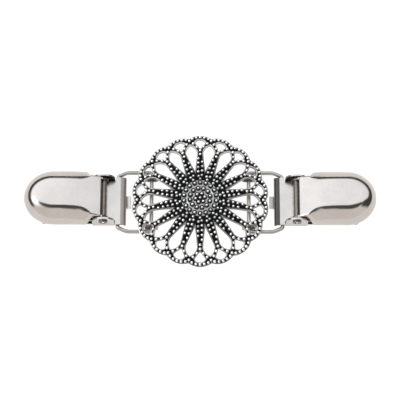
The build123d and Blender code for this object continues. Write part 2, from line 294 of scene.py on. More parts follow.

# %% [markdown]
# The rivet is hollow at its ends. Each end gets a painted shade for the hollow, with a
# painted highlight, a bright point, in its middle. Both are rings round the rivet's axis,
# so the finish measures the distance from that axis.

# %% Painted shade and a painted highlight on the rivet's ends
pivot = joint_place["right_lever_lift"]
rivet_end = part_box("right_pivot_pin")[1].y
# Painted shade for the hollow at each end
hollow_shade_colour = (0.030, 0.027, 0.025, 1)
hollow_edge = (1.00 * mm, 1.15 * mm)
# The bright point in the middle is a painted highlight
glint_edge = (0.42 * mm, 0.58 * mm)
graph, (x, y, z) = reopen(pin_finish)
sideways, upwards = abs(x) - pivot.x, z - pivot.z
from_axis = (sideways * sideways + upwards * upwards) ** 0.5
at_end = graph.smooth_step(abs(y), rivet_end - 0.12 * mm, rivet_end - 0.06 * mm)
# Painted shade in the hollow, with a painted highlight at its middle
hollow_shade = at_end * (1 - graph.smooth_step(from_axis, *hollow_edge))
painted_glint = 1 - graph.smooth_step(from_axis, *glint_edge)
shade_and_glint = graph.mix(painted_glint, hollow_shade_colour, grey(0.95))
base = graph.mix(hollow_shade, fed(pin_finish, "Base Color"), shade_and_glint)
feed(pin_finish, {"Base Color": base})
print("rivet ends:", round(rivet_end / mm, 2), "mm from the middle")

# %% [markdown]
# ## Helpers for outlines and meshes
# Two small tools draw most of the outlines: a circular arc through three points and a path
# whose corners are rounded.

# %% Arcs and rounded paths
def arc(start, middle, end, count):
    """Points on the circle through three points, from start to end."""
    (ax, ay), (bx, by), (cx, cy) = start, middle, end
    twice_area = 2 * (ax * (by - cy) + bx * (cy - ay) + cx * (ay - by))
    a2, b2, c2 = ax * ax + ay * ay, bx * bx + by * by, cx * cx + cy * cy
    ox = (a2 * (by - cy) + b2 * (cy - ay) + c2 * (ay - by)) / twice_area
    oy = (a2 * (cx - bx) + b2 * (ax - cx) + c2 * (bx - ax)) / twice_area
    radius = math.hypot(ax - ox, ay - oy)
    first = math.atan2(ay - oy, ax - ox)
    turn = math.remainder(math.atan2(cy - oy, cx - ox) - first, 2 * math.pi)
    points = []
    for step in range(count + 1):
        angle = first + turn * step / count
        points.append((ox + radius * math.cos(angle), oy + radius * math.sin(angle)))
    return points


def rounded(corners, radii, closed, steps=8):
    """A path of straight runs whose corners are circular arcs."""
    points = []
    count = len(corners)
    for index, corner in enumerate(corners):
        radius = radii[index]
        if radius == 0 or (not closed and index in (0, count - 1)):
            points.append(Vector(corner))
            continue
        here = Vector(corner)
        back = (Vector(corners[index - 1]) - here).normalized()
        ahead = (Vector(corners[(index + 1) % count]) - here).normalized()
        half_angle = back.angle(ahead) / 2
        centre = here + (back + ahead).normalized() * (radius / math.sin(half_angle))
        start = here + back * (radius / math.tan(half_angle)) - centre
        end = here + ahead * (radius / math.tan(half_angle)) - centre
        for step in range(steps + 1):
            points.append(centre + start.slerp(end, step / steps) * radius)
    return points


# %% [markdown]
# Meshes need a few tools too: one makes an object of points and faces, one opens a mesh for
# editing, and the others turn the faces outwards, shade softly, give a wall or round the
# edges.

# %% Meshes, walls and soft edges
merge_distance = 0.001 * mm


def mesh_object(name, points, faces, material):
    mesh = bpy.data.meshes.new(name)
    mesh.from_pydata([tuple(point) for point in points], [], faces)
    mesh.validate()
    mesh.materials.append(material)
    return add_object(name, mesh)


@contextmanager
def editing(mesh):
    shape = bmesh.new()
    shape.from_mesh(mesh)
    yield shape
    shape.to_mesh(mesh)
    shape.free()


def outward(mesh):
    """Merges doubles and turns every face outwards."""
    with editing(mesh) as shape:
        bmesh.ops.remove_doubles(shape, verts=shape.verts, dist=merge_distance)
        bmesh.ops.recalc_face_normals(shape, faces=shape.faces)


def smooth(made, degrees):
    """Soft shading, with edges sharper than this angle kept crisp."""
    made.data.shade_smooth()
    made.data.set_sharp_from_angle(angle=math.radians(degrees))


def round_edges(made, radius):
    edge = made.modifiers.new("edge", "BEVEL")
    edge.width = radius
    edge.segments = 2
    edge.limit_method = "ANGLE"
    edge.angle_limit = math.radians(40)
    edge.harden_normals = False


def thicken(made, thickness, edge_radius, offset=-1.0):
    wall = made.modifiers.new("wall", "SOLIDIFY")
    wall.thickness = thickness
    wall.offset = offset
    wall.use_even_offset = True
    round_edges(made, edge_radius)


# %% [markdown]
# ## Baking a Geometry Nodes tree
# A tree is quick to change while working, but the finished piece has to be a plain mesh.
# So the inputs are set by their identifiers, the tree is evaluated once and only the
# resulting mesh is kept. One table of sizes names a tree's inputs and gives their values.
# Both trees here turn something round the flower's centre and end by realizing their
# instances, so those stretches are functions.

# %% Run a tree and keep its mesh
def evaluated_mesh(source):
    graph = bpy.context.evaluated_depsgraph_get()
    return bpy.data.meshes.new_from_object(source.evaluated_get(graph))


def run_tree(tree, source, values, name):
    modifier = source.modifiers.new("tree", "NODES")
    modifier.node_group = tree
    for item in tree.interface.items_tree:
        if item.in_out == "INPUT" and item.name in values:
            modifier[item.identifier] = values[item.name]
    mesh = evaluated_mesh(source)
    source.modifiers.remove(modifier)
    bpy.data.objects.remove(source)
    mesh.name = name
    return add_object(name, mesh)


# %% Begin and end a tree
socket_kinds = {
    float: "NodeSocketFloat",
    int: "NodeSocketInt",
    bpy.types.Material: "NodeSocketMaterial",
}


def new_tree(name, values):
    """A tree with an input for each value, of the value's kind."""
    tree = bpy.data.node_groups.new(name, "GeometryNodeTree")
    tree.interface.new_socket("Geometry", in_out="OUTPUT", socket_type="NodeSocketGeometry")
    tree.interface.new_socket("Geometry", in_out="INPUT", socket_type="NodeSocketGeometry")
    for input_name, value in values.items():
        kind = socket_kinds[type(value)]
        tree.interface.new_socket(input_name, in_out="INPUT", socket_type=kind)
    graph = Graph(tree)
    entry = graph.node("NodeGroupInput")
    return tree, graph, entry


def turned_copies(graph, geometry, count):
    """Copies of the geometry, turned evenly round the centre."""
    index = graph.node("GeometryNodeInputIndex")
    turns = graph.node("GeometryNodeMeshLine", {}, {"Count": count, "Offset": (0, 0, 0)})
    turned = graph.node("ShaderNodeCombineXYZ", {}, {"Z": index * (2 * math.pi) / count})
    rotation = graph.node("FunctionNodeEulerToRotation", {}, {0: turned})
    inputs = {"Points": turns, "Instance": geometry, "Rotation": rotation}
    copies = graph.node("GeometryNodeInstanceOnPoints", {}, inputs)
    return graph.node("GeometryNodeRealizeInstances", {}, {0: copies})


def close_tree(graph, entry, geometry):
    plain = graph.node("GeometryNodeRealizeInstances", {}, {0: geometry})
    inputs = {0: plain, "Material": graph.output(entry, "Finish")}
    finished = graph.node("GeometryNodeSetMaterial", {}, inputs)
    end = graph.tree.nodes.new("NodeGroupOutput")
    graph.tree.links.new(finished.socket, end.inputs[0])


# %% [markdown]
# ## The flower's sizes
# The casting is a shallow dome cut from two concentric spheres. Its radius and height are
# read from the frame. The pattern repeats eighteen times, and its openings and most of
# its beads' places are shares of the radius, as a pattern maker would draw them.

# %% Sizes of the flower
petals = 18
sector = 2 * math.pi / petals
flower_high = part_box("flower")[1]
rim_radius = flower_high.y
scallop = 1.0 * mm
bead_radius = 0.675 * mm
bead_seat = 0.22 * mm
bead_pitch = 1.77 * mm
boss_step = 0.5 * mm
boss_radius = 6.9 * mm
boss_line = 0.4 * mm
ground_thickness = 1.2 * mm
dome_rise = 2.6 * mm
dome_apex = flower_high.z - boss_step - bead_seat - bead_radius
dome_radius = (rim_radius**2 + dome_rise**2) / (2 * dome_rise)
dome_centre = dome_apex - dome_radius


def dome_top(distance):
    return dome_centre + math.sqrt(dome_radius**2 - distance**2)


print("dome apex:", round(dome_apex / mm, 2), "mm, rim:", round(dome_top(rim_radius) / mm, 2))

# %% [markdown]
# ## Antique silver
# The flower is silver plated, blackened and then polished, so black stays in the hollows
# and the bead tops shine. That rule is a height: the shader measures how far a point stands
# above the dome. Beads are bright near their tops, more so towards the rim, the ground is
# black, and the cut side walls are a bare worn grey. Two vertex attributes add to it: one
# bares the openings' edges, the other bares the boss but for the rings round its beads.

# %% Antique silver
black = (0.010, 0.0095, 0.009, 1)
dark_grey = (0.15, 0.146, 0.142, 1)
worn_silver = (0.46, 0.43, 0.40, 1)
bright_silver = (0.88, 0.875, 0.865, 1)
grime_scale = 900.0
# Heights above the dome between which each change of finish happens
wall_band = (-0.30 * mm, -0.06 * mm)
rubbed_band = (0.12 * mm, 0.62 * mm)
shining_band = (0.62 * mm, 0.86 * mm)


def antique_silver(name, ring_attribute=None):
    material, graph, place = new_metal(name)
    x, y, z = graph.coordinates(place)
    distance2 = x * x + y * y
    on_boss = graph.maths("LESS_THAN", distance2, boss_radius**2)
    height = z - ((dome_radius**2 - distance2) ** 0.5 + dome_centre) - on_boss * boss_step
    grime = graph.noise(place, grime_scale, 3.0)
    wear = graph.smooth_step(distance2, (0.42 * rim_radius) ** 2, (0.84 * rim_radius) ** 2)
    uneven_height = height + (grime - 0.5) * (0.24 * mm)
    worn_height = uneven_height + wear * (0.16 * mm)
    rubbed = graph.smooth_step(worn_height, *rubbed_band)
    if ring_attribute:
        rings = graph.attribute(ring_attribute)
        bare = graph.smooth_step(rings * (0.75 + grime * 0.5), 0.0, 1.0) * 0.72
        shine = graph.smooth_step(rings, 1.1, 1.8) * 0.6
    else:
        edges = graph.attribute("edge") + (grime - 0.5) * 0.9
        bare_edge = graph.smooth_step(edges, 0.15, 0.60) * (wear * 0.5 + 0.5)
        bare_wall = 1 - graph.smooth_step(uneven_height, *wall_band)
        bare = graph.maths("MAXIMUM", bare_wall, bare_edge)
        shine = graph.smooth_step(worn_height, *shining_band)
    patina = graph.mix(bare, graph.mix(rubbed, black, dark_grey), worn_silver)
    roughness = 0.42 - shine * 0.20 - bare * 0.06
    feed(material, {"Base Color": graph.mix(shine, patina, bright_silver), "Roughness": roughness})
    feed(material, {"Normal": graph.bump(grime, 0.03 * mm, 0.6)})
    return material


casting_finish = antique_silver("antique_silver")
boss_finish = antique_silver("antique_silver_boss", "bare")
print("silver finishes:", 2)

# %% [markdown]
# ## The pierced ground
# A maker would saw the openings in a flat disc and then dome it. The same two steps work
# here. Geometry Nodes turn one teardrop and one triangle round the centre, draw the
# scalloped rim from an angle and fill what is left; Python then lays the flat disc on the
# sphere. Filling a curve is far cheaper than cutting 36 holes with booleans.

# %% Outline of one teardrop and one triangle
def share(*values):
    return tuple(value * rim_radius for value in values)


def teardrop_outline():
    inner, shoulder, widest = share(0.435, 0), share(0.59, 0.047), share(0.722, 0.080)
    cheek, outer = share(0.80, 0.056), share(0.851, 0)
    side = arc(inner, shoulder, widest, 9)[:-1] + arc(widest, cheek, outer, 9)
    other = [(x, -y) for x, y in reversed(side[1:-1])]
    return side + other


def triangle_outline():
    apex, corner, outer = share(0.780, 0), share(0.885, 0.079), share(0.934, 0)
    mirrored = (corner[0], -corner[1])
    rim = arc(corner, outer, mirrored, 6)[1:-1]
    corners = [(x, y, 0) for x, y in (apex, corner, *rim, mirrored)]
    corner_radius = 0.018 * rim_radius
    radii = [corner_radius, 0.7 * corner_radius] + [0] * len(rim) + [0.7 * corner_radius]
    return [(point.x, point.y) for point in rounded(corners, radii, True, 5)]


def closed_spline(curve, spots):
    """Adds a closed line of straight runs to a curve."""
    spline = curve.splines.new("POLY")
    spline.points.add(len(spots) - 1)
    for point, spot in zip(spline.points, spots):
        point.co = (*spot, 1)
    spline.use_cyclic_u = True


openings = bpy.data.curves.new("openings", "CURVE")
openings.dimensions = "2D"
for outline, turned in ((teardrop_outline(), 0), (triangle_outline(), sector / 2)):
    turn = Matrix.Rotation(turned, 3, "Z")
    closed_spline(openings, [turn @ Vector((x, y, 0)) for x, y in outline])
openings_object = add_object("openings", openings)

# %% Turn the openings round the centre and fill the disc
disc_inputs = {
    "Petals": petals,
    "Rim Radius": rim_radius,
    "Scallop": scallop,
    "Points per Petal": 10,
    "Finish": casting_finish,
}
tree, graph, entry = new_tree("pierced_disc", disc_inputs)
petal_count = graph.output(entry, "Petals")
per_petal = graph.output(entry, "Points per Petal")
holes = turned_copies(graph, entry, petal_count)
circle = graph.node(
    "GeometryNodeCurvePrimitiveCircle", {}, {"Resolution": petal_count * per_petal, "Radius": 1.0}
)
index = graph.node("GeometryNodeInputIndex")
phase = graph.maths("FRACT", index / per_petal) - 0.5
reach = graph.output(entry, "Rim Radius") - graph.output(entry, "Scallop") * (phase * phase) * 4
position = graph.node("GeometryNodeInputPosition")
scaled = graph.node(
    "ShaderNodeVectorMath", {"operation": "SCALE"}, {"Vector": position, "Scale": reach}
)
rim = graph.node("GeometryNodeSetPosition", {}, {"Geometry": circle, "Position": scaled})
joined = graph.node("GeometryNodeJoinGeometry")
for part_geometry in (rim, holes):
    tree.links.new(part_geometry.socket, joined.socket.node.inputs[0])
close_tree(graph, entry, graph.node("GeometryNodeFillCurve", {}, {0: joined}))
ground = run_tree(tree, openings_object, disc_inputs, "flower_ground")
print("flat disc:", len(ground.data.vertices), "points")

# %% Lay the flat disc on the dome
longest_edge = 2.5 * mm
edge_band = 0.6 * mm
outward(ground.data)
with editing(ground.data) as shape:
    at_edge = shape.verts.layers.float.new("edge")
    bmesh.ops.inset_region(
        shape, faces=shape.faces, use_boundary=True, use_even_offset=True, thickness=edge_band
    )
    for vertex in shape.verts:
        vertex[at_edge] = 1.0 if vertex.is_boundary else 0.0
    for halving in range(5):
        inside = [edge for edge in shape.edges if not edge.is_boundary]
        long_edges = [edge for edge in inside if edge.calc_length() > longest_edge]
        bmesh.ops.subdivide_edges(shape, edges=long_edges, cuts=1)
        bmesh.ops.triangulate(shape, faces=shape.faces)
    for vertex in shape.verts:
        vertex.co.z = dome_top(math.hypot(vertex.co.x, vertex.co.y))
    shape.normal_update()
    if sum(face.normal.z for face in shape.faces) < 0:
        bmesh.ops.reverse_faces(shape, faces=shape.faces)
ground.data.shade_smooth()
thicken(ground, ground_thickness, 0.10 * mm)
print("domed ground:", len(ground.data.polygons), "faces")

# %% [markdown]
# ## The beads
# Some four hundred beads cover the strands. Each strand carries the same beads, so one
# strand's places are listed once and Geometry Nodes turn them round the flower, drop them
# on the dome and put a small sphere on each. A fixed seed varies their size a little, as
# in a casting. Each sphere has only a few dozen faces.

# %% Bead places of one strand
def polar(distance, angle):
    return Vector((distance * math.cos(angle), distance * math.sin(angle), 0))


def strand_beads():
    row_offset = 0.029 * rim_radius
    row_bottom = boss_radius + bead_radius + boss_line
    left_top = 0.616 * rim_radius
    gathering = 3.5 * mm
    places = []
    for top, offset in ((left_top, row_offset), (left_top - 0.8 * bead_pitch, -row_offset)):
        for step in range(int((top - row_bottom) / bead_pitch) + 1):
            distance = top - step * bead_pitch
            gathered = 0.74 + 0.26 * min(1.0, (distance - row_bottom) / gathering)
            places.append((distance, offset * gathered))
    places += [(boss_radius + 0.60 * mm, 0), share(0.686, 0), share(0.747, 0)]
    for distance, offset in (share(0.808, 0.047), share(0.860, 0.102)):
        places += [(distance, offset), (distance, -offset)]
    on_spoke = [Matrix.Rotation(sector / 2, 3, "Z") @ Vector((x, y, 0)) for x, y in places]
    rim_inset = 0.9 * mm
    for step in (-2, -1, 0, 1, 2):
        away = 0.18 * step
        distance = rim_radius - rim_inset - scallop * (2 * away) ** 2
        on_spoke.append(polar(distance, sector / 2 + away * sector))
    on_spoke.append(Vector((0.915 * rim_radius, 0, 0)))
    return on_spoke


def boss_beads():
    """The boss's beads stand in rings: (share of its radius, number, first angle)."""
    rings = ((0, 1, 0), (0.246, 6, 10), (0.543, 12, 11), (0.870, petals, 10))
    places = []
    for part_of_radius, count, first in rings:
        for bead in range(count):
            angle = math.radians(first) + 2 * math.pi * bead / count
            places.append(polar(part_of_radius * boss_radius, angle))
    return places


# %% Grow beads on their places
bead_inputs = {
    "Repeats": petals,
    "Bead Radius": bead_radius,
    "Dome Radius": dome_radius,
    "Dome Centre": dome_centre,
    "Seat": bead_seat,
    "Size Spread": 0.12,
    "Seed": 3,
    "Finish": casting_finish,
}
tree, graph, entry = new_tree("beads", bead_inputs)
spots = turned_copies(graph, entry, graph.output(entry, "Repeats"))
x, y = graph.coordinates(graph.node("GeometryNodeInputPosition"))[:2]
radius = graph.output(entry, "Dome Radius")
level = (radius * radius - x * x - y * y) ** 0.5 + graph.output(entry, "Dome Centre")
seated = graph.node(
    "ShaderNodeCombineXYZ", {}, {"X": x, "Y": y, "Z": level + graph.output(entry, "Seat")}
)
on_dome = graph.node("GeometryNodeSetPosition", {}, {"Geometry": spots, "Position": seated})
bead = graph.node(
    "GeometryNodeMeshUVSphere",
    {},
    {"Segments": 12, "Rings": 7, "Radius": graph.output(entry, "Bead Radius")},
)
soft_bead = graph.node("GeometryNodeSetShadeSmooth", {}, {0: bead})
spread = graph.output(entry, "Size Spread")
size = graph.node(
    "FunctionNodeRandomValue",
    {"data_type": "FLOAT"},
    {2: 1 - spread, 3: 1.0, "Seed": graph.output(entry, "Seed")},
    1,
)
grown = graph.node(
    "GeometryNodeInstanceOnPoints", {}, {"Points": on_dome, "Instance": soft_bead, "Scale": size}
)
close_tree(graph, entry, grown)


def beads(name, places, inputs):
    source = mesh_object(name + "_places", places, [], casting_finish)
    made = run_tree(tree, source, inputs, name)
    print(name + ":", len(made.data.polygons), "faces")
    return made


strand_bead_piece = beads("flower_beads", strand_beads(), bead_inputs)
boss_inputs = bead_inputs | {"Repeats": 1, "Seat": bead_seat + boss_step, "Seed": 5}
boss_bead_piece = beads("boss_beads", boss_beads(), boss_inputs)

# %% [markdown]
# ## The boss
# The middle of the flower is a raised, polished disc. Two fine raised lines run round it
# and each bead sits in a small hollow where the black stays. It is a disc of rings whose
# height is a formula, and the same formula fills the attribute that the finish reads.

# %% The boss as a height field
ring_step = 0.1 * mm
ring_count = round(boss_radius / ring_step)
spokes = 160
inner_line = 0.703 * boss_radius
hollow_width = 0.36 * mm
hollow_depth = 0.16 * mm
boss_foot = dome_top(boss_radius) - 0.2 * mm
hollows = boss_beads()


def boss_height(x, y):
    distance = math.hypot(x, y)
    height = dome_top(distance) + boss_step
    bare = 1.0
    for line_radius in (inner_line, boss_radius - boss_line / 2):
        across = (distance - line_radius) / (boss_line / 2)
        if abs(across) < 1:
            height += 0.5 * boss_line * math.sqrt(1 - across**2)
            bare = 1.6
    nearest = min(math.hypot(x - spot.x, y - spot.y) for spot in hollows)
    hollow = max(0.0, 1 - abs(nearest - bead_radius) / hollow_width)
    return height - hollow_depth * hollow, bare * (1 - min(1.0, 1.6 * hollow))


points, bareness, faces = [], [], []
for ring in range(ring_count + 2):
    for spoke in range(spokes):
        angle = 2 * math.pi * spoke / spokes
        distance = boss_radius * min(ring, ring_count) / ring_count
        x, y = distance * math.cos(angle), distance * math.sin(angle)
        height, bare = boss_height(x, y) if ring <= ring_count else (boss_foot, 0.0)
        points.append((x, y, height))
        bareness.append(bare)
for ring in range(ring_count + 1):
    for spoke in range(spokes):
        following = (spoke + 1) % spokes
        inner, outer = ring * spokes, (ring + 1) * spokes
        faces.append((inner + spoke, outer + spoke, outer + following, inner + following))
boss = mesh_object("flower_boss", points, faces, boss_finish)
attribute = boss.data.attributes.new("bare", "FLOAT", "POINT")
attribute.data.foreach_set("value", bareness)
with editing(boss.data) as shape:
    bmesh.ops.remove_doubles(shape, verts=shape.verts, dist=merge_distance)
smooth(boss, 50)
print("boss:", len(boss.data.polygons), "faces")

# %% [markdown]
# ## The staples
# Four flat straps on the flower's back hold the rings. Each is a strip bent into a U whose
# ends are cast into the strands, so it is a rounded path given a width and a thickness.

# %% Staples round the rings' inner bars
wire_low, wire_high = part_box("right_wire_ring")
wire_radius = (wire_high.z - wire_low.z) / 2
bar_z = joint_place["right_ring_swing"].z
staple_x = joint_place["right_ring_swing"].x
ring_half_height = wire_high.y - wire_radius
clearance = 0.15 * mm
ring_bend = wire_radius + clearance
staple_width = 2.0 * mm
staple_span = 5.0 * mm
staple_thickness = 0.8 * mm
staple_bend = 0.8 * mm
staple_y = ring_half_height - ring_bend - clearance - staple_width / 2
staple_half = (staple_span - staple_thickness) / 2
staple_foot = staple_thickness / 2
to_side = Vector((0, staple_width / 2, 0))


def staple_path(x, y):
    top = dome_top(math.hypot(x, y)) - ground_thickness / 2
    corners = [
        (x - staple_half, y, top),
        (x - staple_half, y, staple_foot),
        (x + staple_half, y, staple_foot),
        (x + staple_half, y, top),
    ]
    return rounded(corners, [staple_bend] * 4, False)


points, faces = [], []
for x in (staple_x, -staple_x):
    for y in (staple_y, -staple_y):
        start = len(points)
        for spot in staple_path(x, y):
            points += [spot + to_side, spot - to_side]
        for first in range(start, len(points) - 2, 2):
            faces.append((first, first + 1, first + 3, first + 2))
staples = mesh_object("flower_staples", points, faces, staple_finish)
thicken(staples, staple_thickness, 0.12 * mm, offset=0.0)
smooth(staples, 40)
print("staples:", 4)

# %% [markdown]
# ## The wire rings
# Each ring is one bent wire. A curve with a round bevel is the natural tool: the route has
# tight bends behind the flower and long slanted corners in front of the clip.

# %% Bend a wire ring
outer_bar = joint_place["right_clip_swing"].x
slant_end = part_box("right_clip_frame")[1].y + 0.8 * mm
slant_start = outer_bar - 3.2 * mm
slant_bend = 5.5 * mm


def wire_ring(side):
    corners = [
        (staple_x, -ring_half_height, bar_z),
        (staple_x, ring_half_height, bar_z),
        (slant_start, ring_half_height, bar_z),
        (outer_bar, slant_end, bar_z),
        (outer_bar, -slant_end, bar_z),
        (slant_start, -ring_half_height, bar_z),
    ]
    radii = [ring_bend, ring_bend, slant_bend, ring_bend, ring_bend, slant_bend]
    curve = bpy.data.curves.new("wire", "CURVE")
    curve.dimensions = "3D"
    curve.bevel_depth = wire_radius
    curve.bevel_resolution = 6
    closed_spline(curve, rounded(corners, radii, True, 10))
    source = add_object("wire", curve)
    mesh = evaluated_mesh(source)
    bpy.data.objects.remove(source)
    mesh.materials.clear()
    mesh.materials.append(wire_finish)
    outward(mesh)
    mesh.shade_smooth()
    return add_object(side + "_ring", mesh)


# %% [markdown]
# ## The clip frames and rivets
# A clip frame is one sheet, folded round the ring's bar, with two ears and toothed jaws.
# Its exact shape is in the frame already, but its edges are razor sharp. A copy of that
# mesh is merged, cleaned of needless triangles and given softly rounded edges.

# %% Copy a frame piece with rounded edges
flat_angle = math.radians(1)
edge_radius = 0.10 * mm


def rounded_copy(node, name, material):
    mesh = frame["nodes"][node].data.copy()
    mesh.materials.clear()
    mesh.materials.append(material)
    with editing(mesh) as shape:
        bmesh.ops.remove_doubles(shape, verts=shape.verts, dist=2 * merge_distance)
        bmesh.ops.dissolve_limit(
            shape, angle_limit=flat_angle, verts=shape.verts, edges=shape.edges
        )
    for face in mesh.polygons:
        face.material_index = 0
    made = add_object(name, mesh)
    round_edges(made, edge_radius)
    smooth(made, 35)
    return made


# %% [markdown]
# ## The lever covers
# The cover is the bright, polished shell that the eye goes to, and only its reflections
# show its shape. So it is built as a clean grid: the flanks follow three outlines, wide
# and long at the rim and narrow at the crown, and the crown is a side view drawn across.
# At the front all three have the same pinched width. From there the lower two widen in an
# even S, and the crown's draws in, quickly at first. A curve rounds the ridge between
# flank and crown, more at the nose, and the cover is lofted through all the sections.

# %% Sizes of a lever cover
cover_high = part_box("right_lever_cover")[1]
cover_wall = 0.8 * mm
rim_z = pivot.z
cover_height = 7.8 * mm
cover_half_width = cover_high.y
cover_tip = cover_high.x
nose_length = 10.9 * mm
nose_start = cover_tip - nose_length
front_x = pivot.x + 0.7 * mm
shoulder_x = pivot.x + 4.5 * mm
skirt_x = shoulder_x + 1.9 * mm
full_width_x = skirt_x + 3.5 * mm
pinch_end = shoulder_x - 1.2 * mm
widening_end = skirt_x
waist_start = pinch_end + 0.9 * mm
waist_end = full_width_x
waist_power = 3.2
pinch = 7.7 * mm
front_z = pivot.z + 3.2 * mm
crown_z = rim_z + cover_height
# Each outline: (share of the height, share of the half width, share of the nose's length)
cover_levels = ((0.00, 1.00, 1.000), (0.51, 0.93, 0.945), (1.03, 0.500, 0.650))
# The crown from front to tip: (place along the cover, share of its rise)
crown_profile = (
    (front_x - 2 * cover_wall, -0.16),
    (front_x, 0.03),
    (shoulder_x - 1.5 * cover_wall, 0.33),
    (skirt_x, 0.62),
    (full_width_x, 0.86),
    (full_width_x + 0.6 * (nose_start - full_width_x), 0.99),
    (nose_start + 0.2 * nose_length, 1.00),
    (cover_tip + cover_wall, 0.78),
)
# The ridge's rounding: (place along the cover, reach down the flank, reach over the crown)
ridge_rounding = (
    (front_x, 0.3 * mm, 0.4 * mm),
    (shoulder_x, 0.8 * mm, 1.3 * mm),
    (full_width_x, 0.9 * mm, 1.3 * mm),
    (nose_start, 1.0 * mm, 1.4 * mm),
    (cover_tip, 2.2 * mm, 3.4 * mm),
)
print("cover:", round((cover_tip - front_x) / mm, 1), "mm long")

# %% The crown's side view as a smooth curve
def monotone_slopes(knots):
    rises = [(b[1] - a[1]) / (b[0] - a[0]) for a, b in zip(knots, knots[1:])]
    slopes = [rises[0]]
    for before, after in zip(rises, rises[1:]):
        slopes.append(0.0 if before * after <= 0 else 2 * before * after / (before + after))
    return slopes + [rises[-1]]


crown_slopes = monotone_slopes(crown_profile)


def crown_at(x):
    for index in range(len(crown_profile) - 1):
        (x0, y0), (x1, y1) = crown_profile[index], crown_profile[index + 1]
        if x <= x1 or index == len(crown_profile) - 2:
            span = x1 - x0
            t = (x - x0) / span
            level = (
                (2 * t**3 - 3 * t**2 + 1) * y0
                + (t**3 - 2 * t**2 + t) * span * crown_slopes[index]
                + (3 * t**2 - 2 * t**3) * y1
                + (t**3 - t**2) * span * crown_slopes[index + 1]
            )
            return front_z + level * (crown_z - front_z)


# %% A point on the flank
def part_way(x, start, end):
    """How far x has come from start to end, from 0 to 1."""
    return min(1.0, max(0.0, (x - start) / (end - start)))


def outline_point(level, station):
    """One outline's point. Stations run from the front to 0 along the side, then 0 to 1
    round the nose."""
    height, width_share, nose_share = level
    width = width_share * cover_half_width
    if station <= 0:
        x = nose_start + station * (nose_start - front_x)
        if width > pinch:
            t = part_way(x, pinch_end, widening_end)
            eased = 3 * t**2 - 2 * t**3
        else:
            eased = 1 - (1 - part_way(x, waist_start, waist_end)) ** waist_power
        y = pinch + (width - pinch) * eased
        return Vector((x, y, rim_z + height * (crown_at(x) - rim_z)))
    angle = (1 - station) * math.pi / 2
    x = nose_start + nose_share * nose_length * math.cos(angle)
    return Vector((x, width * math.sin(angle), rim_z + height * cover_height))


def flank_point(station, height):
    """The outlines blended by a parabola through their three heights."""
    blend = Vector((0, 0, 0))
    for level in cover_levels:
        weight = 1.0
        for other in cover_levels:
            if other != level:
                weight *= (height - other[0]) / (level[0] - other[0])
        blend += outline_point(level, station) * weight
    return blend


def ridge_height(station):
    """Where the flank meets the crown, found by halving."""
    low, high = 0.0, 1.1
    for halving in range(30):
        middle = (low + high) / 2
        spot = flank_point(station, middle)
        if spot.z < crown_at(spot.x):
            low = middle
        else:
            high = middle
    return low


def skirt_height(station):
    x = flank_point(station, 0).x
    if station > 0 or x > skirt_x:
        return 0.0
    along = part_way(x, skirt_x, shoulder_x)
    return along * (front_z - cover_wall - rim_z) / (crown_at(x) - rim_z)


# %% Round the ridge of one section
def along_table(table, x):
    """A row of the table, blended in a straight line between its neighbours."""
    for (x0, *before), (x1, *after) in zip(table, table[1:]):
        if x <= x1 or x1 == table[-1][0]:
            t = part_way(x, x0, x1)
            return [first + (second - first) * t for first, second in zip(before, after)]


def ridge_corner(station):
    return flank_point(station, ridge_height(station))


def inward(station):
    """The level direction from the ridge over the crown. It turns only round the nose."""
    if station <= 0:
        return Vector((0, -1, 0))
    if station >= 1:
        return Vector((-1, 0, 0))
    nudge = 0.01
    along = ridge_corner(station + nudge) - ridge_corner(station - nudge)
    return Vector((along.y, -along.x, 0)).normalized()


flank_rows, ridge_rows, crown_rows = 10, 10, 16


def half_section(station):
    """Points from the rim up the flank and round the ridge to the crown."""
    low, high = skirt_height(station), ridge_height(station)
    corner = flank_point(station, high)
    down, over = along_table(ridge_rounding, corner.x)
    start = max(low + 0.3 * (high - low), high * (1 - down / (corner.z - rim_z)))
    points = []
    for row in range(flank_rows):
        points.append(flank_point(station, low + (start - low) * row / flank_rows))
    first = flank_point(station, start)
    last = corner + inward(station) * over
    last.z = crown_at(last.x)
    for row in range(ridge_rows + 1):
        t = row / ridge_rows
        points.append(first * (1 - t) ** 2 + corner * (2 * t * (1 - t)) + last * t**2)
    return points


# %% Loft the sections into a shell
side_steps, nose_steps = 44, 22


def cover_grid():
    stations = [step / side_steps - 1 for step in range(side_steps + 1)]
    stations += [step / nose_steps for step in range(1, nose_steps + 1)]
    points = []
    for station in stations:
        far = half_section(station)
        near = [Vector((spot.x, -spot.y, spot.z)) for spot in far]
        row = near
        for step in range(1, crown_rows):
            row.append(near[len(far) - 1].lerp(far[-1], step / crown_rows))
        points += row + far[::-1]
    width = len(points) // len(stations)
    faces = []
    for row in range(len(stations) - 1):
        for column in range(width - 1):
            first = row * width + column
            faces.append((first, first + width, first + width + 1, first + 1))
    return points, faces


# %% The flap that turns on the rivet
flap_radius = 1.9 * mm
hole_radius = 1.11 * mm
flap_steps = 72
plate_top = front_z - cover_wall / 2
plate_levels = (plate_top, plate_top - cover_wall)
plate_corners = [(x, level) for level in plate_levels for x in (front_x, shoulder_x)]


def flap_reach(angle, direction):
    """The flap's outline seen from the rivet: the hull of a disc and the cover's front."""
    reach = flap_radius
    for corner_x, corner_z in plate_corners:
        offset = Vector((corner_x - pivot.x, corner_z - pivot.z))
        tangent = math.acos(flap_radius / offset.length)
        base = math.atan2(offset.y, offset.x)
        for turn in (-1, 1):
            away = math.remainder(angle - (base + turn * tangent), 2 * math.pi) * -turn
            if 0 <= away <= tangent:
                reach = max(reach, flap_radius / math.cos(away))
    if direction.x > 0:
        reach = min(reach, (shoulder_x - pivot.x) / direction.x)
    if direction.y > 0:
        reach = min(reach, (plate_top - pivot.z) / direction.y)
    return max(flap_radius, reach)


